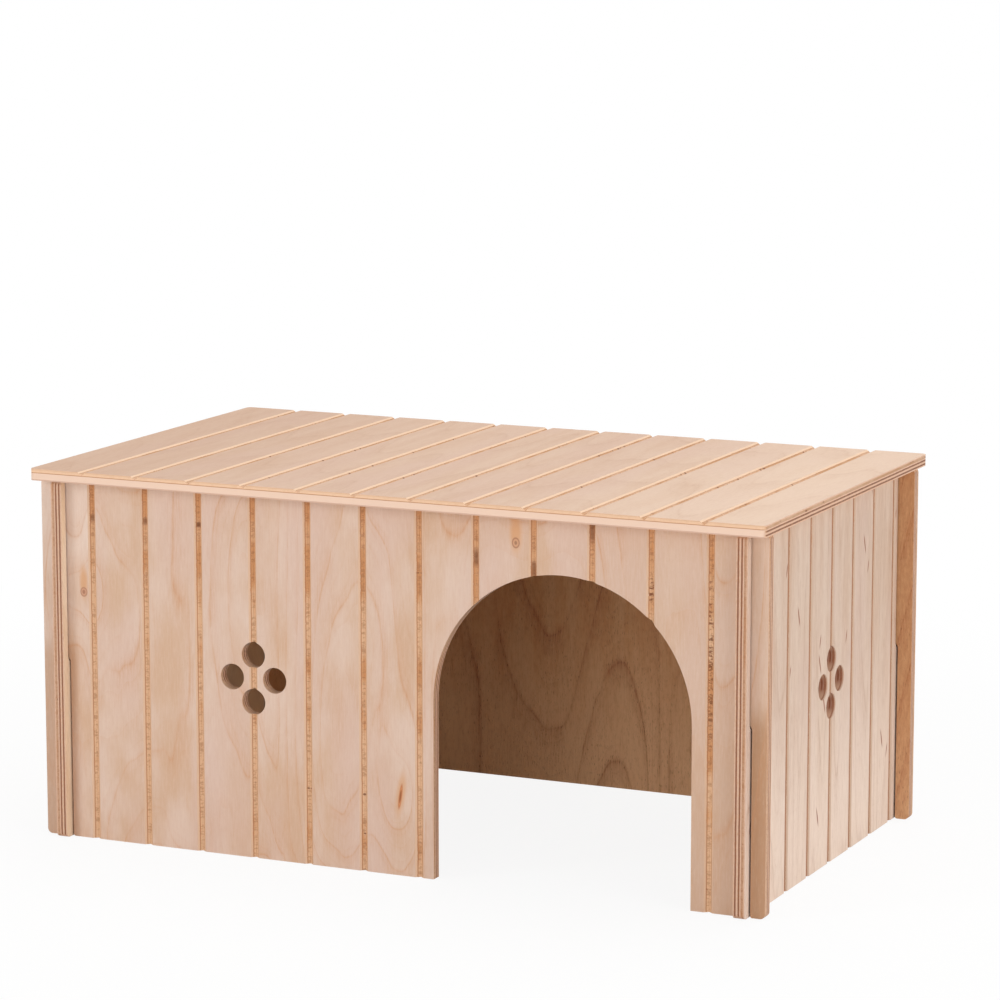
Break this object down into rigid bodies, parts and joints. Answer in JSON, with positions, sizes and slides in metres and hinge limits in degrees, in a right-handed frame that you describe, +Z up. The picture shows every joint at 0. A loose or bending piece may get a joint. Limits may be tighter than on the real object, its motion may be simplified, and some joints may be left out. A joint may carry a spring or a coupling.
{
  "type": "rabbit house",
  "caption": "Knock-down rabbit house of cross-halved grooved plywood walls with an arched doorway, round vents and a lift-off flat roof located by battens.",
  "frame": {"origin": "on the floor under the middle of the closed house", "axes": "+X to the right along the front, the front with its doorway faces -Y, +Z up"},
  "size_m": [0.604, 0.356, 0.291],
  "materials": {
    "wall_plywood": "sanded raw birch plywood with routed grooves",
    "back_plywood": "sanded raw plywood, browner inner veneer with a cathedral figure",
    "roof_plywood": "sanded raw birch plywood with routed grooves",
    "batten_wood": "sanded raw softwood"
  },
  "bodies": {
    "walls": {"left_side_panel": "wall_plywood", "right_side_panel": "wall_plywood", "back_panel": "back_plywood"},
    "front": {"front_panel": "wall_plywood"},
    "roof": {"roof_panel": "roof_plywood", "left_batten": "batten_wood", "right_batten": "batten_wood"}
  },
  "joints": [
    {"name": "front_lift", "type": "slide", "parent": "walls", "child": "front", "axis": [0, 0, 1], "range_m": [0, 0.139]},
    {"name": "roof_lift", "type": "slide", "parent": "front", "child": "roof", "axis": [0, 0, 1], "range_m": [0, 0.073]}
  ]
}
